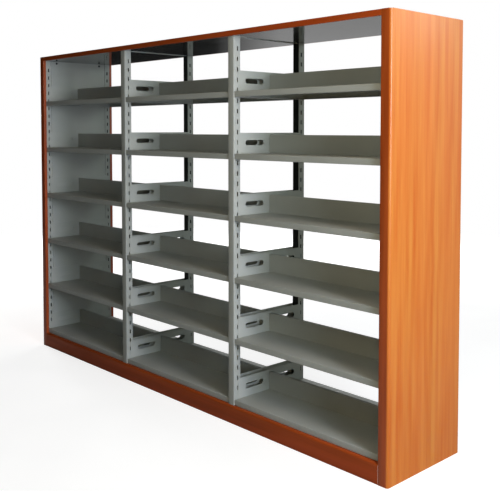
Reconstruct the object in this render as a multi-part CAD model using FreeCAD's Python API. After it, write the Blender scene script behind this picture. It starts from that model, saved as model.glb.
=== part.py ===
"""Double sided library shelving: three bays side by side, six tiers high, open through the
middle, with folded steel boards hung on slotted posts and wood-grain steel casing round it.

Frame: origin at the centre of the footprint on the floor, +X along the row of bays,
-Y towards the front, +Z up. Millimetres. The rear half mirrors the front half.
"""
import FreeCAD, Part
import os

from FreeCAD import Vector

# Whole unit
bay_count = 3
bay_clear = 882.0            # between the facing post sides of one bay
depth = 520.0                # over the front and rear casing faces
tier_count = 6
plinth_height = 88.0
top_clear = 263.0            # top board surface to the underside of the top trays
top_height = 26.0            # visible edge of the top
seat_gap = 0.3               # between pieces that are seated on each other

# Posts: closed tubes, slotted in the sides that face a bay
post_width = 42.0
post_depth = 44.0
post_sheet = 2.0
post_recess = 12.0           # casing face to post face
slot_height = 22.0
slot_width = 7.5
slot_pitch = 50.0
slots_per_tier = 6           # slots from one board to the next
slot_from_face = 25.0        # post face to the middle of the slot row
slot_above_board = 4.0       # board surface to the middle of the slot beside it

# Casing of wood-grain sheet
casing_sheet = 1.2
panel_width = 50.0           # front and rear flanges of an end panel
panel_post_gap = 6.0         # outer face of an end panel to its posts
panel_return = 18.0
panel_edge_radius = 12.0
panel_cleat_height = 45.0
panel_cleat_count = 3
plinth_shelf = 34.0          # top fold of the plinth, casing face to its rear edge
plinth_foot = 11.0           # bottom fold of the plinth
plinth_edge_radius = 10.0
top_edge_radius = 3.0
top_return = 10.0

# Cross rails between the front and the rear post of each frame
rail_width = 22.0
rail_sheet = 1.5
rail_drop = 2.0              # underside of a divider's top rail below the trays
end_rail_drop = 28.0         # the same at the two end frames, behind the infill
bottom_rail_height = 40.0

# Infill sheet of an end frame
infill_sheet = 1.2
infill_recess = 1.0          # behind the bay side of the posts
infill_return = 8.0

# Top trays
tray_sheet = 1.2
tray_wall = 20.0

# Boards
board_sheet = 1.2
lip_height = 28.0
lip_recess = 16.0            # casing face to the lip
lip_return = 14.0
board_edge_cut = 1.6         # softened front edge
backstop_height = 90.0
backstop_hem = 6.0
backstop_gap = 6.0           # between the hems of the front and the rear board

# Brackets: one full depth plate at each end of a tier
bracket_sheet = 2.0
bracket_rise = 100.0         # above the board surface
ledge_width = 15.0
hole_length = 122.0
hole_height = 26.0
hole_end_cut = 8.0
hole_from_face = 148.0       # casing face to the middle of the hole
hole_above_board = 52.0
hook_neck = 12.0
hook_nose = 8.0
hook_thickness = 2.5

# Places that follow from the sizes above
half_depth = depth / 2
bay_pitch = bay_clear + post_width
half_bay = bay_clear / 2
base_surface = plinth_height + lip_height
tier_pitch = slots_per_tier * slot_pitch
top_surface = base_surface + (tier_count - 1) * tier_pitch
tray_bottom = top_surface + top_clear
height = tray_bottom + top_height
first_slot = base_surface + slot_above_board + slot_pitch
post_face = half_depth - post_recess
post_back = post_face - post_depth
slot_row = post_face - slot_from_face
post_top = height - casing_sheet - seat_gap
slot_count = int((post_top - slot_height - first_slot) / slot_pitch)
frame_edge = bay_count * bay_pitch / 2
half_length = frame_edge + post_width / 2 + panel_post_gap
panel_inner = half_length - panel_width
post_centres = [bay_pitch * (i - bay_count / 2) for i in range(bay_count + 1)]
bay_centres = [bay_pitch * (i - (bay_count - 1) / 2) for i in range(bay_count)]
bay_names = ["left", "middle", "right"]
plate_edge = slot_row - slot_width / 2 + seat_gap + bracket_sheet
half_board = half_bay - bracket_sheet - 2 * seat_gap

# How edges are told apart when they are rounded
same_place = 0.1
same_direction = 0.1
upright = Vector(0, 0, 1)
along_row = Vector(1, 0, 0)

os.makedirs("parts", exist_ok=True)


def near(value, place):
    """Whether a coordinate is at that place."""
    return abs(value - place) < same_place


def box(x, y, z):
    """A box from its (low, high) limits along X, Y and Z."""
    return Part.makeBox(x[1] - x[0], y[1] - y[0], z[1] - z[0], Vector(x[0], y[0], z[0]))


def prism(points, push):
    """A solid made by pushing the closed outline through the vector."""
    wire = Part.makePolygon(points + [points[0]])
    return Part.Face(wire).extrude(push)


def plan(points, z):
    """An outline of (x, y) points between the heights (low, high)."""
    outline = [Vector(x, y, z[0]) for x, y in points]
    return prism(outline, Vector(0, 0, z[1] - z[0]))


def section(points, x):
    """An outline of (y, z) points between the places (low, high) along the row."""
    outline = [Vector(x[0], y, z) for y, z in points]
    return prism(outline, Vector(x[1] - x[0], 0, 0))


def to_rear(shape):
    """The same piece on the rear side of the unit."""
    return shape.mirror(Vector(0, 0, 0), Vector(0, 1, 0))


def to_other_end(shape, x=0.0):
    """The same piece mirrored about the plane across the row at x."""
    return shape.mirror(Vector(x, 0, 0), Vector(1, 0, 0))


def rounded(shape, radius, axis, picks):
    """Round the edges along the axis whose middles the test picks."""
    edges = []
    for edge in shape.Edges:
        direction = edge.tangentAt(edge.FirstParameter)
        if direction.cross(axis).Length < same_direction and picks(edge.CenterOfMass):
            edges.append(edge)
    return shape.makeFillet(radius, edges)


def save(name, solids):
    """Write one node, of one or more separate solids."""
    shape = solids[0] if len(solids) == 1 else Part.makeCompound(solids)
    shape.exportStep("parts/" + name + ".step")


def post(centre, slotted_left, slotted_right):
    """A front post: a closed tube with a slot row in each side that faces a bay."""
    half = post_width / 2
    inner = half - post_sheet
    tube = box((centre - half, centre + half), (-post_face, -post_back), (0, post_top))
    bore = box(
        (centre - inner, centre + inner),
        (-post_face + post_sheet, -post_back - post_sheet),
        (0, post_top),
    )
    left = centre - post_width if slotted_left else centre
    right = centre + post_width if slotted_right else centre
    slots = []
    for i in range(slot_count):
        middle = first_slot + i * slot_pitch
        slots.append(box(
            (left, right),
            (-slot_row - slot_width / 2, -slot_row + slot_width / 2),
            (middle - slot_height / 2, middle + slot_height / 2),
        ))
    return tube.cut([bore] + slots)


def cross_rail(centre, z):
    """A rail that joins the front and the rear post of a frame: a channel, open below."""
    half = rail_width / 2
    inner = half - rail_sheet
    reach = post_back - seat_gap
    outline = [
        (-half, z[0]),
        (-half, z[1]),
        (half, z[1]),
        (half, z[0]),
        (inner, z[0]),
        (inner, z[1] - rail_sheet),
        (-inner, z[1] - rail_sheet),
        (-inner, z[0]),
    ]
    points = [Vector(centre + x, -reach, level) for x, level in outline]
    return prism(points, Vector(0, 2 * reach, 0))


def end_panel():
    """The right hand end casing: a sheet folded round the end frame, closed by a lid."""
    inside = half_depth - casing_sheet
    skin = half_length - casing_sheet
    lap = panel_inner + casing_sheet
    tip = half_depth - panel_return
    rear = [
        (panel_inner, tip),
        (panel_inner, half_depth),
        (half_length, half_depth),
    ]
    rear_inside = [
        (skin, inside),
        (lap, inside),
        (lap, tip),
    ]
    front = [(x, -y) for x, y in reversed(rear)]
    front_inside = [(x, -y) for x, y in reversed(rear_inside)]
    folded = plan(rear + front + front_inside + rear_inside, (0, height))
    folded = rounded(folded, panel_edge_radius, upright, lambda at: near(at.x, half_length))
    folded = rounded(
        folded, panel_edge_radius - casing_sheet, upright, lambda at: near(at.x, skin))
    lid = box((panel_inner, half_length), (-half_depth, half_depth), (height - casing_sheet, height))
    lid = rounded(lid, panel_edge_radius, upright, lambda at: near(at.x, half_length))
    cleats = []
    for i in range(panel_cleat_count):
        middle = height * (i + 0.5) / panel_cleat_count
        cleats.append(box(
            (half_length - panel_post_gap + seat_gap, skin),
            (-post_face, post_face),
            (middle - panel_cleat_height / 2, middle + panel_cleat_height / 2),
        ))
    return folded.fuse([lid] + cleats).removeSplitter()


def end_infill():
    """The grey sheet of the right hand end frame, folded outwards along both posts."""
    face = frame_edge - post_width / 2 + infill_recess
    edge = post_back - seat_gap
    outline = [
        (face, -edge),
        (face, edge),
        (face + infill_return, edge),
        (face + infill_return, edge - infill_sheet),
        (face + infill_sheet, edge - infill_sheet),
        (face + infill_sheet, -edge + infill_sheet),
        (face + infill_return, -edge + infill_sheet),
        (face + infill_return, -edge),
    ]
    return plan(outline, (seat_gap, tray_bottom - seat_gap))


def plinth():
    """The front plinth: a folded sheet, notched round the divider posts."""
    inner = half_depth - casing_sheet
    half = panel_inner - seat_gap
    outline = [
        (-half_depth + plinth_foot, 0),
        (-half_depth, 0),
        (-half_depth, plinth_height),
        (-half_depth + plinth_shelf, plinth_height),
        (-half_depth + plinth_shelf, plinth_height - casing_sheet),
        (-inner, plinth_height - casing_sheet),
        (-inner, casing_sheet),
        (-half_depth + plinth_foot, casing_sheet),
    ]
    sheet = section(outline, (-half, half))
    sheet = rounded(sheet, plinth_edge_radius, along_row, lambda at: (
        near(at.y, -half_depth) and near(at.z, plinth_height)))
    sheet = rounded(sheet, plinth_edge_radius - casing_sheet, along_row, lambda at: (
        near(at.y, -inner) and near(at.z, plinth_height - casing_sheet)))
    notches = []
    for centre in post_centres[1:-1]:
        reach = post_width / 2 + seat_gap
        notches.append(box(
            (centre - reach, centre + reach),
            (-post_face - seat_gap, 0),
            (0, height),
        ))
    return sheet.cut(notches)


def top_cap():
    """The wood-grain top: a sheet with a turned-down and returned edge front and rear."""
    inner = half_depth - casing_sheet
    back = half_depth - top_return
    half = panel_inner - seat_gap
    front = [
        (-back, tray_bottom),
        (-half_depth, tray_bottom),
        (-half_depth, height),
    ]
    under = [
        (-inner, height - casing_sheet),
        (-inner, tray_bottom + casing_sheet),
        (-back, tray_bottom + casing_sheet),
    ]
    rear = [(-y, z) for y, z in reversed(front)]
    rear_under = [(-y, z) for y, z in reversed(under)]
    sheet = section(front + rear + rear_under + under, (-half, half))
    return rounded(sheet, top_edge_radius, along_row, lambda at: (
        near(abs(at.y), half_depth) and near(at.z, height)))


def top_tray(centre):
    """A flat pan under the top, notched round the four posts at its corners."""
    wide = half_bay + (post_width - rail_width) / 2 - seat_gap
    narrow = half_board
    long = half_depth - top_return - seat_gap
    short = post_back - seat_gap

    def corners(wall):
        """The outline of the pan, drawn in by the wall."""
        quarter = [
            (narrow - wall, long - wall),
            (narrow - wall, short - wall),
            (wide - wall, short - wall),
        ]
        right_rear = quarter
        right_front = [(x, -y) for x, y in reversed(quarter)]
        left_front = [(-x, -y) for x, y in quarter]
        left_rear = [(-x, y) for x, y in reversed(quarter)]
        return [(centre + x, y) for x, y in right_rear + right_front + left_front + left_rear]

    pan = plan(corners(0), (tray_bottom, tray_bottom + tray_wall))
    inside = plan(corners(tray_sheet), (tray_bottom + tray_sheet, height))
    return pan.cut(inside)


def board(centre, surface):
    """A front board: lip with a return, flat, back-stop with a hem, and two end flanges."""
    front = lip_recess - half_depth
    stop = -(backstop_gap / 2 + backstop_hem)
    under = surface - board_sheet
    lip_bottom = surface - lip_height
    outline = [
        (front + lip_return, lip_bottom),
        (front, lip_bottom),
        (front, surface - board_edge_cut),
        (front + board_edge_cut, surface),
        (stop, surface),
        (stop, surface + backstop_height),
        (stop + backstop_hem, surface + backstop_height),
        (stop + backstop_hem, surface + backstop_height - board_sheet),
        (stop + board_sheet, surface + backstop_height - board_sheet),
        (stop + board_sheet, under),
        (front + board_sheet, under),
        (front + board_sheet, lip_bottom + board_sheet),
        (front + lip_return, lip_bottom + board_sheet),
    ]
    sheet = section(outline, (centre - half_board, centre + half_board))
    flange = box(
        (centre - half_board, centre - half_board + board_sheet),
        (front + board_sheet, stop + board_sheet),
        (lip_bottom + bracket_sheet + seat_gap, under),
    )
    return sheet.fuse([flange, to_other_end(flange, centre)]).removeSplitter()


def bracket_hole(surface):
    """The oblong hole in the front half of a bracket plate, as an outline in Y and Z."""
    middle = hole_from_face - half_depth
    level = surface + hole_above_board
    half_long = hole_length / 2
    half_high = hole_height / 2
    quarter = [
        (half_long - hole_end_cut, half_high),
        (half_long, half_high - hole_end_cut),
    ]
    lower = [(y, -z) for y, z in reversed(quarter)]
    left = [(-y, -z) for y, z in quarter] + [(-y, z) for y, z in reversed(quarter)]
    return [(middle + y, level + z) for y, z in quarter + lower + left]


def bracket(centre, surface):
    """The plate at the left end of a tier, hooked into a slot of both posts, with a ledge
    for the boards along its lower edge."""
    wall = centre - half_bay
    outer = wall + seat_gap
    inner = outer + bracket_sheet
    bottom = surface - lip_height
    plate = box((outer, inner), (-plate_edge, plate_edge), (bottom, surface + bracket_rise))
    ledge = box(
        (outer, outer + ledge_width),
        (-plate_edge, plate_edge),
        (bottom, bottom + bracket_sheet),
    )
    slot_floor = surface + slot_above_board + slot_pitch - slot_height / 2
    neck_bottom = slot_floor + seat_gap
    neck_top = neck_bottom + hook_neck
    nose_side = wall - post_sheet - seat_gap
    nose_end = nose_side - hook_thickness
    profile = [
        (outer, neck_top),
        (outer, neck_bottom),
        (nose_side, neck_bottom),
        (nose_end, neck_bottom - hook_nose),
        (nose_end, neck_top),
    ]
    points = [Vector(x, -plate_edge, z) for x, z in profile]
    hook = prism(points, Vector(0, bracket_sheet, 0))
    hole = section(bracket_hole(surface), (wall, inner + bracket_sheet))
    solid = plate.fuse([ledge, hook, to_rear(hook)]).cut([hole, to_rear(hole)])
    return solid.removeSplitter()


def tier(bay, level):
    """Boards and brackets of one tier of a bay. Tier 1 is the fixed base tier."""
    centre = bay_centres[bay]
    surface = base_surface + (level - 1) * tier_pitch
    front_board = board(centre, surface)
    plate = bracket(centre, surface)
    name = bay_names[bay] + "_tier" + str(level)
    save(name + "_shelves", [front_board, to_rear(front_board)])
    save(name + "_brackets", [plate, to_other_end(plate, centre)])


def posts():
    """The eight posts of the four frames."""
    names = ["left_end", "left_divider", "right_divider", "right_end"]
    for i, centre in enumerate(post_centres):
        front_post = post(centre, i > 0, i < bay_count)
        save(names[i] + "_post_front", [front_post])
        save(names[i] + "_post_rear", [to_rear(front_post)])


def cross_rails():
    """The top and bottom rails of the four frames."""
    top = []
    bottom = []
    for i, centre in enumerate(post_centres):
        drop = end_rail_drop if i in (0, bay_count) else rail_drop
        top.append(cross_rail(centre, (tray_bottom - drop, post_top)))
        bottom.append(cross_rail(centre, (0, bottom_rail_height)))
    save("top_cross_rails", top)
    save("bottom_cross_rails", bottom)


def casing():
    """End panels, plinths, top and the infill of the end frames."""
    panel = end_panel()
    save("right_end_panel", [panel])
    save("left_end_panel", [to_other_end(panel)])
    infill = end_infill()
    save("right_end_infill", [infill])
    save("left_end_infill", [to_other_end(infill)])
    front_plinth = plinth()
    save("plinth_front", [front_plinth])
    save("plinth_rear", [to_rear(front_plinth)])
    save("top_cap", [top_cap()])
    for name, centre in zip(bay_names, bay_centres):
        save(name + "_top_tray", [top_tray(centre)])


posts()
cross_rails()
casing()
for bay_index in range(bay_count):
    for tier_level in range(1, tier_count + 1):
        tier(bay_index, tier_level)
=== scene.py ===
"""Double sided library shelving: folded sheet pieces, finishes, floor, light and camera.

Metres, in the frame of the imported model: origin at the centre of the footprint on the floor,
+X along the row of bays, -Y towards the front, +Z up. The rear half mirrors the front half.
"""

import math

import bmesh
import bpy
from mathutils import Matrix, Vector


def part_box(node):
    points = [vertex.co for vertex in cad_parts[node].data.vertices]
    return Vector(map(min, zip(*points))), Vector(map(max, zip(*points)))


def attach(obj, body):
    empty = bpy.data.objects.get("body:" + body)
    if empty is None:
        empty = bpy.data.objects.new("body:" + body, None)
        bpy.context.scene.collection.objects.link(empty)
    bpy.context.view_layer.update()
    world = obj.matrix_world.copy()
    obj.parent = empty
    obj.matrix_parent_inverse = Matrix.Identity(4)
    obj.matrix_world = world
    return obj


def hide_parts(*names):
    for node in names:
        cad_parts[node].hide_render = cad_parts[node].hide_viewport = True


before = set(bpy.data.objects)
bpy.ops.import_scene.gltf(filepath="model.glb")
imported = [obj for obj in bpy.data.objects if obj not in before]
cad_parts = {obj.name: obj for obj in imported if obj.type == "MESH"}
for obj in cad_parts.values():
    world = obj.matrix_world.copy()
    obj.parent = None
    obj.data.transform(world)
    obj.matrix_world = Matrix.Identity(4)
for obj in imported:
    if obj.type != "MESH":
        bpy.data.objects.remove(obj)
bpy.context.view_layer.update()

# ---------------------------------------------------------------- sizes

millimetre = 0.001

bays = ["left", "middle", "right"]
tiers = range(1, 7)
frames = ["left_end", "left_divider", "right_divider", "right_end"]

board_low, board_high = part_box("middle_tier1_shelves")
plate_low, plate_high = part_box("middle_tier1_brackets")
panel_low, panel_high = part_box("right_end_panel")
plinth_low, plinth_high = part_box("plinth_front")
top_low, top_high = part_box("top_cap")
post_low, post_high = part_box("right_divider_post_front")

fit_room = 0.3 * millimetre      # between pieces that fit together

# Boards
board_sheet = 1.2 * millimetre
board_bend = 1.6 * millimetre
lip_height = 28 * millimetre
lip_return = 14 * millimetre
hem_width = 6 * millimetre
hem_drop = 5 * millimetre
hem_gap = 3 * millimetre
flange_gap = 2.3 * millimetre    # board flange to the underside of the lip
board_surface = board_low.z + lip_height

# Brackets
bracket_sheet = 2.0 * millimetre
bracket_bend = 1.2 * millimetre
ledge_width = 15 * millimetre
hook_reach = plate_high.x - (post_low.x + fit_room)
hook_rise = 43.3 * millimetre    # board surface to the underside of the hook's neck
hook_neck = 12 * millimetre
hook_nose = 8 * millimetre
hook_thickness = 2.5 * millimetre
plate_corner = 4 * millimetre
hole_length = 122 * millimetre
hole_height = 26 * millimetre
hole_from_front = 148 * millimetre
hole_rise = 52 * millimetre

# Posts
post_sheet = 2.0 * millimetre
post_bend = 2.0 * millimetre
slot_height = 22 * millimetre
slot_width = 7.5 * millimetre
slot_round = 2.0 * millimetre
slot_pitch = 50 * millimetre
slot_count = 34
slot_from_face = 25 * millimetre
first_slot = board_surface + 54 * millimetre

# Casing
casing_sheet = 1.2 * millimetre
panel_edge = 12 * millimetre
panel_foot_corner = 14 * millimetre
panel_top_edge = 1.0 * millimetre
panel_return = 18 * millimetre
panel_skin = panel_high.x - 2 * casing_sheet   # from here out lies the skin alone
plinth_edge = 8.8 * millimetre
plinth_foot = 11 * millimetre
top_edge = 2.2 * millimetre
top_return = 10 * millimetre
small_bend = 1.0 * millimetre

# Screws of the end infill
screw_radius = 7 * millimetre
screw_height = 4 * millimetre
screw_from_front = 98 * millimetre
screw_below_top = 11 * millimetre

# Studio
floor_radius = 7.0
room_light = 0.008
white_side = (0.5, 0.866, 0.0)   # the way to the middle of the white background
white_below = 0.42               # strength of the white in reflections that look down

arc_steps = 5                    # facets of a quarter turn
smooth_limit = math.radians(38)  # sharper edges stay crisp


# ---------------------------------------------------------------- folding and cutting sheet

def folded(path, bends, sheet, side=1):
    """The outline of a sheet folded along the path of (a, b) points. The sheet lies on the
    left of the path where side is 1 and on its right where it is -1, and bends are the inner
    radii at the corners in between."""
    points = [Vector(p) for p in path]
    runs = [(q - p).normalized() for p, q in zip(points, points[1:])]
    near = [points[0]]
    far = [points[0] + side * sheet * Vector((-runs[0].y, runs[0].x))]
    for corner, bend, before, after in zip(points[1:-1], bends, runs, runs[1:]):
        turn = math.atan2(before.x * after.y - before.y * after.x, before.dot(after))
        inside = turn * side > 0
        radius = bend + sheet if inside else bend
        other = bend if inside else bend + sheet
        way = math.copysign(1, turn)
        start = corner - before * radius * math.tan(abs(turn) / 2)
        centre = start + way * radius * Vector((-before.y, before.x))
        steps = max(2, round(arc_steps * abs(turn) / (math.pi / 2)))
        for i in range(steps + 1):
            swing = Matrix.Rotation(turn * i / steps, 2)
            arm = swing @ (start - centre).normalized()
            near.append(centre + arm * radius)
            far.append(centre + arm * other)
    near.append(points[-1])
    far.append(points[-1] + side * sheet * Vector((-runs[-1].y, runs[-1].x)))
    return near + far[::-1]


def oblong(centre, length, height, corner):
    """A rounded slot outline in (a, b), with its length along a."""
    outline = []
    for quarter in range(4):
        sign_a = 1 if quarter in (0, 3) else -1
        sign_b = 1 if quarter in (0, 1) else -1
        middle = Vector(centre) + Vector((
            sign_a * (length / 2 - corner), sign_b * (height / 2 - corner)))
        for i in range(arc_steps + 1):
            angle = math.pi / 2 * (quarter + i / arc_steps)
            outline.append(middle + corner * Vector((math.cos(angle), math.sin(angle))))
    return outline


def prism(outline, low, high, axis):
    """A mesh with the outline as its section, from low to high along the axis. The outline's
    (a, b) are the other two axes in X, Y, Z order."""
    place = {
        "x": lambda p, s: (s, p[0], p[1]),
        "y": lambda p, s: (p[0], s, p[1]),
        "z": lambda p, s: (p[0], p[1], s),
    }[axis]
    shape = bmesh.new()
    ends = [[shape.verts.new(place(p, s)) for p in outline] for s in (low, high)]
    count = len(outline)
    for i in range(count):
        j = (i + 1) % count
        shape.faces.new((ends[0][i], ends[0][j], ends[1][j], ends[1][i]))
    shape.faces.new(ends[0])
    shape.faces.new(ends[1])
    bmesh.ops.recalc_face_normals(shape, faces=shape.faces)
    return shape


def block(low, high):
    """A box from its two corners."""
    outline = [(low[0], low[1]), (high[0], low[1]), (high[0], high[1]), (low[0], high[1])]
    return prism(outline, low[2], high[2], "z")


def joined(shapes):
    """All the shapes in one, each given up."""
    whole = bmesh.new()
    for shape in shapes:
        passed = bpy.data.meshes.new("passed")
        shape.to_mesh(passed)
        shape.free()
        whole.from_mesh(passed)
        bpy.data.meshes.remove(passed)
    return whole


def turned(shape, matrix):
    """A copy of the shape moved by the matrix, with its faces still outwards."""
    copy = shape.copy()
    bmesh.ops.transform(copy, matrix=matrix, verts=copy.verts)
    if matrix.determinant() < 0:
        bmesh.ops.reverse_faces(copy, faces=copy.faces)
    return copy


def to_rear(shape):
    """The shape mirrored front to rear."""
    return turned(shape, Matrix.Diagonal((1, -1, 1, 1)))


def to_left(shape):
    """The shape mirrored end to end."""
    return turned(shape, Matrix.Diagonal((-1, 1, 1, 1)))


def cut(shape, cutter):
    """The shape with the cutter taken out of it, both given up."""
    held = []
    for part in (shape, cutter):
        mesh = bpy.data.meshes.new("held")
        part.to_mesh(mesh)
        part.free()
        thing = bpy.data.objects.new("held", mesh)
        bpy.context.scene.collection.objects.link(thing)
        held.append(thing)
    modifier = held[0].modifiers.new("cut", "BOOLEAN")
    modifier.operation = "DIFFERENCE"
    modifier.solver = "EXACT"
    modifier.object = held[1]
    result = bmesh.new()
    result.from_object(held[0], bpy.context.evaluated_depsgraph_get())
    for thing in held:
        mesh = thing.data
        bpy.data.objects.remove(thing)
        bpy.data.meshes.remove(mesh)
    return result


def made(name, shape, material):
    """A mesh of the shape, smooth over its bends, in the material."""
    mesh = bpy.data.meshes.new(name)
    shape.to_mesh(mesh)
    shape.free()
    for face in mesh.polygons:
        face.use_smooth = True
    mesh.set_sharp_from_angle(angle=smooth_limit)
    mesh.materials.append(material)
    return mesh


def fit(name, mesh, body, nodes, place=(0, 0, 0)):
    """A piece of the mesh at the place, riding on the body in the stead of the nodes."""
    piece = bpy.data.objects.new(name, mesh)
    bpy.context.scene.collection.objects.link(piece)
    piece.location = place
    bpy.context.view_layer.update()
    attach(piece, body)
    if nodes:
        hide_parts(*nodes)
    return piece


# ---------------------------------------------------------------- shader building

def colours_of(sockets):
    """The colour sockets among them."""
    return [socket for socket in sockets if socket.type == "RGBA"]


class Nodes:
    """Adds and joins nodes in a material's tree or a group's."""

    def __init__(self, tree):
        self.tree = tree

    def add(self, kind, values=None, **settings):
        """A node with its settings, and its inputs set to values or joined to sockets."""
        node = self.tree.nodes.new(kind)
        for name, value in settings.items():
            setattr(node, name, value)
        for name, value in (values or {}).items():
            self.put(node.inputs[name], value)
        return node

    def noise(self, vector, scale, detail=2.0, roughness=0.5):
        """Noise over the vector, as a value."""
        node = self.add("ShaderNodeTexNoise", {
            "Vector": vector, "Scale": scale, "Detail": detail, "Roughness": roughness})
        return node.outputs["Fac"]

    def maths(self, operation, first, second=0.0):
        """The result of one sum."""
        node = self.add("ShaderNodeMath", {0: first, 1: second}, operation=operation)
        return node.outputs[0]

    def stretched(self, vector, scale):
        """The vector with each axis scaled."""
        node = self.add("ShaderNodeVectorMath", {0: vector, 1: scale}, operation="MULTIPLY")
        return node.outputs[0]

    def levels(self, value, low, high, to_low=0.0, to_high=1.0):
        """The value from low to high spread from to_low to to_high, clamped."""
        node = self.add("ShaderNodeMapRange", {
            "Value": value, "From Min": low, "From Max": high,
            "To Min": to_low, "To Max": to_high})
        return node.outputs["Result"]

    def mixed(self, share, first, second):
        """Two colours mixed by the share."""
        node = self.add("ShaderNodeMix", data_type="RGBA")
        self.put(node.inputs["Factor"], share)
        for socket, colour in zip(colours_of(node.inputs), (first, second)):
            self.put(socket, colour)
        return colours_of(node.outputs)[0]

    def put(self, socket, value):
        """Set the socket, or join it to another."""
        if isinstance(value, bpy.types.NodeSocket):
            self.tree.links.new(value, socket)
        else:
            socket.default_value = value


def effect(name, inputs, outputs, build):
    """A node group with named inputs and outputs. The build function gets the nodes and the
    input sockets, and gives back the output sockets in order."""
    group = bpy.data.node_groups.new(name, "ShaderNodeTree")
    for label, kind, value in inputs:
        socket = group.interface.new_socket(name=label, in_out="INPUT", socket_type=kind)
        if value is not None:
            socket.default_value = value
    for label, kind in outputs:
        group.interface.new_socket(name=label, in_out="OUTPUT", socket_type=kind)
    nodes = Nodes(group)
    entry = nodes.add("NodeGroupInput")
    leave = nodes.add("NodeGroupOutput")
    results = build(nodes, entry.outputs)
    for (label, kind), result in zip(outputs, results):
        group.links.new(result, leave.inputs[label])
    return group


NUMBER = "NodeSocketFloat"
VECTOR = "NodeSocketVector"


def build_powder(nodes, given):
    """Fine skin of powder coat, with slow drift in its tone."""
    skin = nodes.noise(given["Vector"], given["Skin Scale"], 3.0, 0.6)
    drift = nodes.noise(given["Vector"], given["Drift Scale"], 3.0, 0.55)
    speck = nodes.noise(given["Vector"], 2600.0, 1.0, 0.5)
    slow = nodes.maths("MULTIPLY", nodes.levels(drift, 0.3, 0.7), given["Drift"])
    fine = nodes.maths("MULTIPLY", nodes.levels(speck, 0.35, 0.65, -0.5, 0.5), given["Speck"])
    return nodes.maths("ADD", slow, fine), skin


powder = effect(
    "powder coat",
    [("Vector", VECTOR, None), ("Skin Scale", NUMBER, 700.0), ("Drift Scale", NUMBER, 3.0),
     ("Drift", NUMBER, 1.0), ("Speck", NUMBER, 0.25)],
    [("Tone", NUMBER), ("Height", NUMBER)],
    build_powder)


def build_grain(nodes, given):
    """Straight wood grain along the vector's third axis: wide bands, streaks, narrow lines and
    fine pores."""
    soft = nodes.noise(nodes.stretched(given["Vector"], (1.0, 1.0, 0.35)), 2.2, 1.0)
    sway = nodes.maths("MULTIPLY", soft, given["Sway"])
    along = nodes.add("ShaderNodeCombineXYZ", {"X": sway, "Y": sway})
    bent = nodes.add("ShaderNodeVectorMath", {
        0: given["Vector"], 1: along.outputs[0]}, operation="ADD").outputs[0]
    bands = nodes.noise(nodes.stretched(bent, (1.0, 1.0, 0.03)), given["Bands"], 2.0, 0.55)
    streaks = nodes.noise(nodes.stretched(bent, (1.0, 1.0, 0.05)), given["Streaks"], 1.0)
    lines = nodes.noise(nodes.stretched(bent, (1.0, 1.0, 0.04)), given["Lines"], 2.0, 0.5)
    fibres = nodes.noise(nodes.stretched(bent, (1.0, 1.0, 0.012)), given["Fibres"], 2.0, 0.6)
    pores = nodes.levels(fibres, 0.60, 0.74)
    wide = nodes.maths("MULTIPLY", nodes.levels(bands, 0.3, 0.7), 0.20)
    middle = nodes.maths("MULTIPLY", nodes.levels(streaks, 0.25, 0.75), 0.65)
    narrow = nodes.maths("MULTIPLY", nodes.levels(lines, 0.3, 0.7), 0.15)
    tone = nodes.maths("ADD", nodes.maths("ADD", wide, middle), narrow)
    hue = nodes.levels(bands, 0.36, 0.64)
    return tone, hue, pores


grain = effect(
    "wood grain",
    [("Vector", VECTOR, None), ("Sway", NUMBER, 0.012), ("Bands", NUMBER, 9.0),
     ("Streaks", NUMBER, 37.0), ("Lines", NUMBER, 110.0), ("Fibres", NUMBER, 420.0)],
    [("Tone", NUMBER), ("Hue", NUMBER), ("Pores", NUMBER)],
    build_grain)


def build_dust(nodes, given):
    """A film of dust, thickest on faces that look up, in soft patches."""
    normal = nodes.add("ShaderNodeNewGeometry").outputs["Normal"]
    upward = nodes.add("ShaderNodeSeparateXYZ", {"Vector": normal}).outputs["Z"]
    flat = nodes.levels(upward, 0.6, 1.0)
    patches = nodes.levels(nodes.noise(given["Vector"], 9.0, 4.0, 0.6), 0.35, 0.75)
    share = nodes.maths("MULTIPLY", nodes.maths("MULTIPLY", flat, patches), given["Amount"])
    return (share,)


dust = effect(
    "dust film",
    [("Vector", VECTOR, None), ("Amount", NUMBER, 0.15)],
    [("Mask", NUMBER)],
    build_dust)


def finish(name):
    """A new material with its Principled shader, its nodes and its object coordinates."""
    coat = bpy.data.materials.new(name)
    coat.use_nodes = True
    shader = coat.node_tree.nodes["Principled BSDF"]
    nodes = Nodes(coat.node_tree)
    place = nodes.add("ShaderNodeTexCoord").outputs["Object"]
    return coat, shader, nodes, place


def shifted(nodes, place, spread):
    """The place moved by a different amount on each piece."""
    chance = nodes.add("ShaderNodeObjectInfo").outputs["Random"]
    push = nodes.maths("MULTIPLY", chance, spread)
    node = nodes.add("ShaderNodeVectorMath", {0: place, 1: push}, operation="ADD")
    return node.outputs[0]


# ---------------------------------------------------------------- finishes

coat_dark = (0.361, 0.373, 0.350, 1)
coat_light = (0.415, 0.427, 0.404, 1)
# Painted shade: near black for the posts' faces towards the middle of the unit
painted_shade = (0.011, 0.014, 0.014, 1)
dust_colour = (0.50, 0.49, 0.46, 1)
face_deep = (0.470, 0.088, 0.003, 1)
face_warm = (0.595, 0.230, 0.036, 1)
face_red = (0.605, 0.192, 0.030, 1)
# Painted shade: darker, redder copies of the face colours, for wood faces that look to the front
# and rear
shaded_deep = (0.281, 0.046, 0.007, 1)
shaded_warm = (0.470, 0.092, 0.017, 1)
shaded_red = (0.448, 0.069, 0.014, 1)
wood_pore = (0.300, 0.070, 0.016, 1)
bare_inside = (0.060, 0.060, 0.062, 1)
tray_dark = (0.050, 0.052, 0.050, 1)
tray_light = (0.062, 0.064, 0.062, 1)
screw_dark = (0.030, 0.030, 0.032, 1)
screw_worn = (0.085, 0.085, 0.088, 1)
floor_dark = (0.44, 0.44, 0.44, 1)
floor_light = (0.48, 0.48, 0.48, 1)

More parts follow.
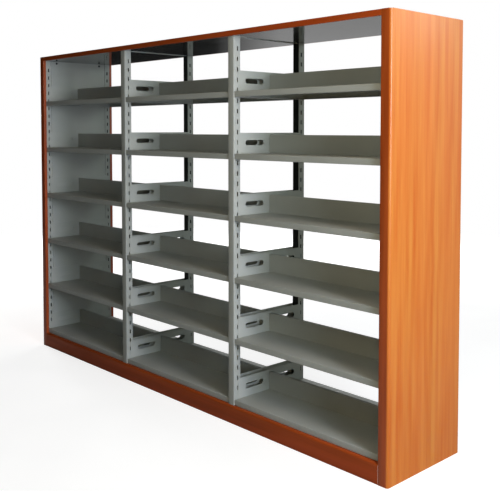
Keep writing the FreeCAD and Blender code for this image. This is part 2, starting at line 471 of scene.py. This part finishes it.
# Roughness of the glossy and the dull spots, and depth of the skin
coat_gloss = 0.38
coat_dull = 0.47
coat_skin = 0.4 * millimetre
wood_gloss = 0.30
wood_dull = 0.36
wood_skin = 0.3 * millimetre
pore_share = 0.22
tray_mirror = 0.10
tray_dull = 0.15


def rough_skin(nodes, shader, height, strength, depth):
    """The height as small bumps in the shader's surface."""
    bump = nodes.add("ShaderNodeBump", {
        "Height": height, "Strength": strength, "Distance": depth})
    nodes.put(shader.inputs["Normal"], bump.outputs["Normal"])


def grey_coat(name, with_painted_shade=False):
    """Satin grey powder coat on sheet steel. Where asked for, the faces towards the middle of
    the unit are painted near black, a painted shade for the shadow inside the posts."""
    coat, shader, nodes, place = finish(name)
    spot = shifted(nodes, place, 7.0)
    skin = nodes.add("ShaderNodeGroup", {"Vector": spot}, node_tree=powder)
    film = nodes.add("ShaderNodeGroup", {"Vector": spot, "Amount": 0.10}, node_tree=dust)
    plain = nodes.mixed(skin.outputs["Tone"], coat_dark, coat_light)
    colour = nodes.mixed(film.outputs["Mask"], plain, dust_colour)
    if with_painted_shade:
        # Painted shade, near black, on the faces towards the middle of the unit
        normal = nodes.add("ShaderNodeNewGeometry").outputs["Normal"]
        facing = nodes.add("ShaderNodeSeparateXYZ", {"Vector": normal}).outputs["Y"]
        depth = nodes.add("ShaderNodeSeparateXYZ", {"Vector": place}).outputs["Y"]
        outwards = nodes.maths("MULTIPLY", facing, nodes.maths("SIGN", depth))
        inner = nodes.levels(outwards, -0.9, -0.6, 1.0, 0.0)
        covering = nodes.levels(skin.outputs["Tone"], 0.0, 1.0, 1.0, 0.97)
        colour = nodes.mixed(nodes.maths("MULTIPLY", inner, covering), colour, painted_shade)
    nodes.put(shader.inputs["Base Color"], colour)
    nodes.put(shader.inputs["Roughness"], nodes.levels(
        skin.outputs["Tone"], 0.0, 1.0, coat_gloss, coat_dull))
    rough_skin(nodes, shader, skin.outputs["Height"], 0.10, coat_skin)
    shader.inputs["Specular IOR Level"].default_value = 0.25
    return coat


def wood_coat(name, turn, specular):
    """Satin wood-grain coat, tan on the outer faces of the ends and on the top. Faces that look
    to the front and rear (the flanges, the plinth and the top's lips) get darker, browner copies
    of the colours as painted shade. Turn swaps the axes so that the grain runs along the piece."""
    coat, shader, nodes, place = finish(name)
    parts = nodes.add("ShaderNodeSeparateXYZ", {"Vector": place})
    across = nodes.add("ShaderNodeCombineXYZ", {
        label: parts.outputs[source] for label, source in zip("XYZ", turn)})
    figure = nodes.add("ShaderNodeGroup", {"Vector": across.outputs[0]}, node_tree=grain)
    normal = nodes.add("ShaderNodeNewGeometry").outputs["Normal"]
    facing = nodes.add("ShaderNodeSeparateXYZ", {"Vector": normal})
    outwards = nodes.maths(
        "MULTIPLY", facing.outputs["X"], nodes.maths("SIGN", parts.outputs["X"]))
    crown = nodes.maths(
        "MULTIPLY", nodes.levels(facing.outputs["Z"], 0.6, 0.95),
        nodes.maths("GREATER_THAN", parts.outputs["Z"], top_low.z))
    # Painted shade: faces that look to the front and rear take the darker copies, while the
    # ends' outer faces and the top take the face colours
    lit_side = nodes.maths("MAXIMUM", nodes.levels(outwards, 0.10, 0.50), crown)
    warm = nodes.mixed(
        figure.outputs["Hue"],
        nodes.mixed(lit_side, shaded_warm, face_warm), nodes.mixed(lit_side, shaded_red, face_red))
    body = nodes.mixed(
        figure.outputs["Tone"], nodes.mixed(lit_side, shaded_deep, face_deep), warm)
    pored = nodes.mixed(
        nodes.maths("MULTIPLY", figure.outputs["Pores"], pore_share), body, wood_pore)
    skin = nodes.maths("GREATER_THAN", nodes.maths("ABSOLUTE", parts.outputs["X"]), panel_skin)
    inside = nodes.maths("MULTIPLY", skin, nodes.maths("LESS_THAN", outwards, -0.5))
    nodes.put(shader.inputs["Base Color"], nodes.mixed(inside, pored, bare_inside))
    nodes.put(shader.inputs["Roughness"], nodes.levels(
        figure.outputs["Tone"], 0.0, 1.0, wood_dull, wood_gloss))
    height = nodes.maths("SUBTRACT", figure.outputs["Tone"], figure.outputs["Pores"])
    rough_skin(nodes, shader, height, 0.06, wood_skin)
    shader.inputs["Specular IOR Level"].default_value = specular
    return coat


def gloss_coat(name):
    """Glossy dark grey coat of the top trays."""
    coat, shader, nodes, place = finish(name)
    skin = nodes.add("ShaderNodeGroup", {
        "Vector": place, "Skin Scale": 90.0, "Speck": 0.1}, node_tree=powder)
    nodes.put(shader.inputs["Base Color"], nodes.mixed(
        skin.outputs["Tone"], tray_dark, tray_light))
    nodes.put(shader.inputs["Roughness"], nodes.levels(
        skin.outputs["Tone"], 0.0, 1.0, tray_mirror, tray_dull))
    rough_skin(nodes, shader, skin.outputs["Height"], 0.03, coat_skin)
    return coat


def blackened_steel(name):
    """Blackened steel of the screw heads."""
    steel, shader, nodes, place = finish(name)
    wear = nodes.levels(nodes.noise(place, 400.0, 3.0), 0.4, 0.7)
    nodes.put(shader.inputs["Base Color"], nodes.mixed(wear, screw_dark, screw_worn))
    nodes.put(shader.inputs["Roughness"], nodes.levels(wear, 0.0, 1.0, 0.35, 0.5))
    shader.inputs["Metallic"].default_value = 0.8
    return steel


grey = grey_coat("grey powder coat")
# The posts carry painted shade, near black, on their faces towards the middle of the unit
post_grey = grey_coat("grey powder coat over primer", with_painted_shade=True)
upright_wood = wood_coat("wood grain upright", "XYZ", 0.5)
# The plinth and the top get the same painted shade on their front and rear faces
long_wood = wood_coat("wood grain along the row", "YZX", 0.2)
tray_gloss = gloss_coat("glossy grey coat")
screw_steel = blackened_steel("blackened steel")


# ---------------------------------------------------------------- boards and brackets

def body_of(bay, tier):
    """The body that carries a tier: the base tier stays with the frame."""
    return "frame" if tier == 1 else f"{bay}_tier{tier}"


def tier_place(bay, tier):
    """The middle of the bay, at the board surface of the tier."""
    low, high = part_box(f"{bay}_tier{tier}_shelves")
    return Vector(((low.x + high.x) / 2, 0, low.z + lip_height))


def front_board():
    """Lip, flat and back-stop folded from one sheet, with a flange at each end."""
    half = (board_high.x - board_low.x) / 2
    front = board_low.y
    stop = -(hem_gap + hem_width)
    rise = board_high.z - board_surface
    path = [
        (front + lip_return, -lip_height),
        (front, -lip_height),
        (front, 0),
        (stop, 0),
        (stop, rise),
        (stop + hem_width, rise),
        (stop + hem_width, rise - hem_drop),
    ]
    bends = [board_bend, board_bend, board_bend, small_bend, small_bend]
    sheet = prism(folded(path, bends, board_sheet, -1), -half, half, "x")
    flange_low = -lip_height + flange_gap
    flange = block(
        (-half, front + board_sheet, flange_low),
        (-half + board_sheet, stop, -board_sheet))
    return joined([sheet, to_left(flange), flange])


def bracket_plate():
    """The plate at the left end of a tier: ledge below, two oblong holes, a hook each end."""
    half_bay = (plate_high.x - plate_low.x) / 2 - hook_reach
    wall = -half_bay
    top = plate_high.z - board_surface
    reach = plate_high.y
    path = [
        (wall + ledge_width, -lip_height),
        (wall, -lip_height),
        (wall, top),
    ]
    plate = prism(folded(path, [bracket_bend], bracket_sheet, -1), -reach, reach, "y")
    corners = [
        edge for edge in plate.edges
        if all(vert.co.z > top - small_bend for vert in edge.verts)
        and abs(edge.verts[0].co.x - edge.verts[1].co.x) > bracket_sheet / 2]
    bmesh.ops.bevel(plate, geom=corners, offset=plate_corner, segments=4, affect="EDGES")
    middle = panel_low.y + hole_from_front
    hole = prism(
        oblong((middle, hole_rise), hole_length, hole_height, hole_height / 2 - 1e-5),
        wall - bracket_sheet, wall + 2 * bracket_sheet, "x")
    plate = cut(plate, joined([to_rear(hole), hole]))
    tip = wall - hook_reach
    neck = [
        (wall, hook_rise + hook_neck),
        (tip, hook_rise + hook_neck),
        (tip, hook_rise - hook_nose),
        (tip + hook_thickness, hook_rise),
        (wall, hook_rise),
    ]
    hook = prism(neck, -reach, -reach + bracket_sheet, "y")
    return joined([plate, to_rear(hook), hook])


def tiers_of_boards():
    """Boards and brackets of every tier, as two meshes used again and again."""
    board = front_board()
    plate = bracket_plate()
    boards = made("boards", joined([to_rear(board), board]), grey)
    plates = made("brackets", joined([to_left(plate), plate]), grey)
    for bay in bays:
        for tier in tiers:
            name = f"{bay}_tier{tier}"
            body = body_of(bay, tier)
            place = tier_place(bay, tier)
            fit(name + "_boards", boards, body, [name + "_shelves"], place)
            fit(name + "_plates", plates, body, [name + "_brackets"], place)


# ---------------------------------------------------------------- posts

def front_post(sides):
    """A closed tube with a row of slots in each of the sides, given as -1 for the left and 1
    for the right."""
    width = post_high.x - post_low.x
    depth = post_high.y - post_low.y
    half = width / 2
    middle = (0, (post_low.y + post_high.y) / 2)
    tube = prism(oblong(middle, width, depth, post_bend + post_sheet), 0, post_high.z, "z")
    bore = prism(
        oblong(middle, width - 2 * post_sheet, depth - 2 * post_sheet, post_bend),
        -1, post_high.z + 1, "z")
    row = post_low.y + slot_from_face
    slots = []
    for side in sides:
        ends = sorted((side * (half - 2 * post_sheet), side * (half + post_sheet)))
        for i in range(slot_count):
            outline = oblong(
                (row, first_slot + i * slot_pitch), slot_width, slot_height, slot_round)
            slots.append(prism(outline, ends[0], ends[1], "x"))
    return cut(cut(tube, bore), joined(slots))


def posts():
    """The eight posts, from the three kinds of slotting."""
    for name, sides in zip(frames, ((1,), (-1, 1), (-1, 1), (-1,))):
        low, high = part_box(name + "_post_front")
        place = ((low.x + high.x) / 2, 0, 0)
        front = front_post(sides)
        rear = to_rear(front)
        for end, shape in (("_post_front", front), ("_post_rear", rear)):
            mesh = made(name + end, shape, post_grey)
            fit(name + end + "_tube", mesh, "frame", [name + end], place)


# ---------------------------------------------------------------- casing

def foot_cutter(edge, way):
    """What is taken off a foot of an end panel to round it. The edge is the panel's front or
    rear, and way points from it into the panel along Y."""
    outline = [(edge - way, -1), (edge - way, panel_foot_corner)]
    for i in range(2 * arc_steps + 1):
        angle = math.pi / 2 * i / (2 * arc_steps)
        outline.append((
            edge + way * panel_foot_corner * (1 - math.cos(angle)),
            panel_foot_corner * (1 - math.sin(angle))))
    outline.append((edge + way * panel_foot_corner, -1))
    return prism(outline, panel_low.x - 1, panel_high.x + 1, "x")


def end_panel():
    """The right hand end panel: a sheet folded round the end frame, with narrow returns
    beside the posts, and a lid."""
    top = panel_high.z - casing_sheet
    path = [
        (panel_low.x, panel_high.y - panel_return),
        (panel_low.x, panel_high.y),
        (panel_high.x, panel_high.y),
        (panel_high.x, panel_low.y),
        (panel_low.x, panel_low.y),
        (panel_low.x, panel_low.y + panel_return),
    ]
    edge = panel_edge - casing_sheet
    sheet = prism(
        folded(path, [small_bend, edge, edge, small_bend], casing_sheet, -1),
        panel_low.z, top, "z")
    sheet = cut(sheet, foot_cutter(panel_high.y, -1))
    lid = block((panel_low.x, panel_low.y, top), panel_high)
    corners = [
        line for line in lid.edges
        if all(vert.co.x > panel_high.x - casing_sheet for vert in line.verts)
        and abs(line.verts[0].co.z - line.verts[1].co.z) > casing_sheet / 2]
    bmesh.ops.bevel(lid, geom=corners, offset=panel_edge, segments=arc_steps, affect="EDGES")
    rim = [
        line for line in lid.edges
        if all(vert.co.z > panel_high.z - casing_sheet / 2 for vert in line.verts)]
    bmesh.ops.bevel(lid, geom=rim, offset=panel_top_edge, segments=3, affect="EDGES")
    return joined([sheet, lid])


def plinth():
    """The front plinth, notched round the divider posts."""
    path = [
        (plinth_low.y + plinth_foot, plinth_low.z),
        (plinth_low.y, plinth_low.z),
        (plinth_low.y, plinth_high.z),
        (plinth_high.y, plinth_high.z),
    ]
    sheet = prism(
        folded(path, [small_bend, plinth_edge], casing_sheet, -1),
        plinth_low.x, plinth_high.x, "x")
    notches = []
    for name in frames[1:-1]:
        low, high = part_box(name + "_post_front")
        notches.append(block(
            (low.x - fit_room, low.y - fit_room, -1),
            (high.x + fit_room, high.y + fit_room, 1)))
    return cut(sheet, joined(notches))


def top_cap():
    """The top sheet, turned down and returned front and rear."""
    path = [
        (top_low.y + top_return, top_low.z),
        (top_low.y, top_low.z),
        (top_low.y, top_high.z),
        (top_high.y, top_high.z),
        (top_high.y, top_low.z),
        (top_high.y - top_return, top_low.z),
    ]
    bends = [small_bend, top_edge, top_edge, small_bend]
    return prism(folded(path, bends, casing_sheet, -1), top_low.x, top_high.x, "x")


def casing():
    """End panels, plinths and top."""
    right = end_panel()
    left = to_left(right)
    for name, shape in (("right_end", right), ("left_end", left)):
        mesh = made(name + "_panel_sheet", shape, upright_wood)
        fit(name + "_panel_sheet", mesh, "frame", [name + "_panel"])
    front = plinth()
    rear = to_rear(front)
    for end, shape in (("front", front), ("rear", rear)):
        mesh = made(f"plinth_{end}_sheet", shape, long_wood)
        fit(f"plinth_{end}_sheet", mesh, "frame", ["plinth_" + end])
    mesh = made("top_sheet", top_cap(), long_wood)
    fit("top_sheet", mesh, "frame", ["top_cap"])


# ---------------------------------------------------------------- small parts and kept nodes

def screw_head():
    """A round head with a domed top, standing on the plane of X and Y."""
    sides = 24
    steps = 5
    rim_share = 0.35             # of the head's height, below its dome
    dome_share = 0.98            # of the head's radius
    profile = [(screw_radius, 0.0)]
    for i in range(steps):
        angle = math.pi / 2 * i / steps
        profile.append((
            screw_radius * math.cos(angle) * dome_share,
            screw_height * (rim_share + (1 - rim_share) * math.sin(angle))))
    shape = bmesh.new()
    rings = []
    for radius, level in profile:
        rings.append([
            shape.verts.new((
                radius * math.cos(2 * math.pi * k / sides),
                radius * math.sin(2 * math.pi * k / sides), level))
            for k in range(sides)])
    for lower, upper in zip(rings, rings[1:]):
        for k in range(sides):
            n = (k + 1) % sides
            shape.faces.new((lower[k], lower[n], upper[n], upper[k]))
    shape.faces.new(rings[-1])
    shape.faces.new(rings[0][::-1])
    return shape


def infill_screws():
    """Two screws near the top of each end infill, on its bay side."""
    head = screw_head()
    depth = panel_high.y - screw_from_front
    for end, inward in (("left", 1), ("right", -1)):
        low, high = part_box(end + "_end_infill")
        face = high.x if inward > 0 else low.x
        turn = Matrix.Rotation(inward * math.pi / 2, 4, "Y")
        for where, side in (("front", -1), ("rear", 1)):
            place = Matrix.Translation((face, side * depth, high.z - screw_below_top))
            mesh = made("screw_head", turned(head, place @ turn), screw_steel)
            fit(f"{end}_infill_screw_{where}", mesh, "frame", [])


def kept_nodes():
    """Finishes of the nodes that show as they are."""
    finishes = {
        "top_cross_rails": grey,
        "bottom_cross_rails": grey,
        "left_end_infill": grey,
        "right_end_infill": grey,
    }
    for bay in bays:
        finishes[bay + "_top_tray"] = tray_gloss
    for node, coat in finishes.items():
        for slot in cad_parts[node].material_slots:
            slot.material = coat


# ---------------------------------------------------------------- floor, light and camera

def background_share(nodes, behind):
    """How much a ray sees of the white background: all of it straight from the camera, and
    the part behind the unit in reflections and through glass."""
    seen = nodes.add("ShaderNodeLightPath")
    bounced = nodes.maths(
        "MAXIMUM", seen.outputs["Is Glossy Ray"], seen.outputs["Is Transmission Ray"])
    return nodes.maths(
        "MAXIMUM", seen.outputs["Is Camera Ray"], nodes.maths("MULTIPLY", bounced, behind))


def studio_floor():
    """A round pale floor that keeps the unit's shadow and fades into the white around it."""
    shape = bmesh.new()
    bmesh.ops.create_circle(shape, cap_ends=True, segments=96, radius=floor_radius)
    floor, shader, nodes, place = finish("pale floor")
    mottle = nodes.levels(nodes.noise(place, 3.0, 4.0), 0.3, 0.7)
    nodes.put(shader.inputs["Base Color"], nodes.mixed(
        mottle, floor_dark, floor_light))
    shader.inputs["Roughness"].default_value = 0.9
    shader.inputs["Specular IOR Level"].default_value = 0.0
    depth = nodes.add("ShaderNodeSeparateXYZ", {"Vector": place}).outputs["Y"]
    behind = nodes.levels(depth, 0.5, 5.0, 0.05, white_below)
    distance = nodes.add("ShaderNodeVectorMath", {0: place}, operation="LENGTH")
    glow = nodes.levels(
        distance.outputs["Value"], 0.4 * floor_radius, floor_radius, 0.75, 1.0)
    nodes.put(shader.inputs["Emission Strength"], nodes.maths(
        "MULTIPLY", background_share(nodes, behind), glow))
    shader.inputs["Emission Color"].default_value = (1, 1, 1, 1)
    mesh = made("floor", shape, floor)
    piece = bpy.data.objects.new("floor", mesh)
    bpy.context.scene.collection.objects.link(piece)


def studio_world():
    """White behind the unit, and a dim even room that fills the shadows."""
    world = bpy.data.worlds.new("studio")
    bpy.context.scene.world = world
    world.use_nodes = True
    nodes = Nodes(world.node_tree)
    way = nodes.add("ShaderNodeTexCoord").outputs["Generated"]
    towards = nodes.add("ShaderNodeVectorMath", {0: way, 1: white_side}, operation="DOT_PRODUCT")
    rise = nodes.add("ShaderNodeSeparateXYZ", {"Vector": way}).outputs["Z"]
    behind = nodes.maths(
        "MULTIPLY", nodes.levels(towards.outputs["Value"], 0.18, 0.26),
        nodes.levels(rise, -0.1, 0.1, white_below, 1.0))
    background = world.node_tree.nodes["Background"]
    background.inputs["Color"].default_value = (1, 1, 1, 1)
    nodes.put(background.inputs["Strength"], nodes.levels(
        background_share(nodes, behind), 0.0, 1.0, room_light, 1.0))


def lamp(name, place, target, size, power, colour, glossy):
    """A soft oblong lamp at the place, turned to the target. One that isn't glossy has no
    reflection."""
    light = bpy.data.lights.new(name, "AREA")
    light.shape = "RECTANGLE"
    light.size, light.size_y = size
    light.energy = power
    light.color = colour
    piece = bpy.data.objects.new(name, light)
    bpy.context.scene.collection.objects.link(piece)
    piece.location = place
    way = Vector(target) - Vector(place)
    piece.rotation_euler = way.to_track_quat("-Z", "Y").to_euler()
    piece.visible_camera = False
    piece.visible_glossy = glossy


def studio_lamps():
    """Soft lamps off the right hand end that reach into the bays, small ones off the right front
    and over it, one that gives the end panel its sheen, and wide ones for the rear and the
    left. The two that are glossy off the right hand end put the light on its round corner."""
    lamps = {
        # name: place, target, width and height, watts, colour, glossy
        "front": (
            (1.7, -1.9, 2.2), (0.7, 0.0, 1.6), (0.5, 0.5), 8, (1.0, 1.0, 0.85), False),
        "edge": (
            (2.6, -1.9, 1.2), (1.4, -0.26, 1.2), (0.5, 2.0), 8, (1.0, 0.80, 0.42), True),
        "top": (
            (2.2, -1.0, 3.2), (0.9, 0.0, 1.8), (0.7, 0.7), 8, (1.0, 0.7, 0.3), False),
        "side_near": (
            (4.5, -0.9, 1.5), (0.0, 0.0, 1.1), (0.8, 0.8), 37, (0.86, 0.83, 1.0), True),
        "side_high": (
            (4.2, -0.8, 2.1), (0.0, 0.0, 1.1), (0.8, 0.8), 60, (0.94, 0.97, 1.0), True),
        "side_middle": (
            (5.2, -1.7, 1.6), (0.0, 0.0, 1.0), (1.0, 1.0), 58, (0.82, 0.99, 1.0), False),
        "side_low": (
            (6.0, -1.6, 0.9), (0.0, 0.0, 0.8), (1.6, 1.6), 16, (0.2, 0.5, 1.0), False),
        "side_far": (
            (7.0, -1.3, 2.0), (0.0, 0.0, 1.1), (0.9, 1.2), 20, (0.2, 0.4, 1.0), False),
        "sheen": (
            (3.6, 2.7, 2.9), (1.4, 0.0, 1.7), (1.6, 1.2), 28, (0.84, 1.0, 0.90), True),
        "rear_fill": (
            (-3.4, 5.2, 1.8), (0.0, 0.0, 1.0), (3.0, 1.5), 170, (1.0, 1.0, 1.0), False),
        "left_fill": (
            (-6.5, 0.9, 1.5), (0.0, 0.0, 1.0), (1.6, 1.6), 190, (1.0, 1.0, 1.0), False),
    }
    for name, values in lamps.items():
        lamp(name, *values)


def camera():
    """The view from the front right, level with the upper tiers."""
    frame_width = 500            # the focal length and the shift are in the same unit
    focal_length = 766.4
    shift = -80.0
    azimuth = math.radians(46.98)
    fall = math.radians(2.66)
    data = bpy.data.cameras.new("camera")
    data.sensor_width = 36.0
    data.lens = focal_length / frame_width * data.sensor_width
    data.shift_y = shift / frame_width
    data.clip_end = 200.0
    piece = bpy.data.objects.new("camera", data)
    bpy.context.scene.collection.objects.link(piece)
    piece.location = (3.2248, -2.6998, 1.4304)
    piece.rotation_euler = (math.pi / 2 - fall, 0, azimuth)
    bpy.context.scene.camera = piece


tiers_of_boards()
posts()
casing()
infill_screws()
kept_nodes()
studio_floor()
studio_world()
studio_lamps()
camera()

bpy.context.scene.view_settings.view_transform = "Standard"
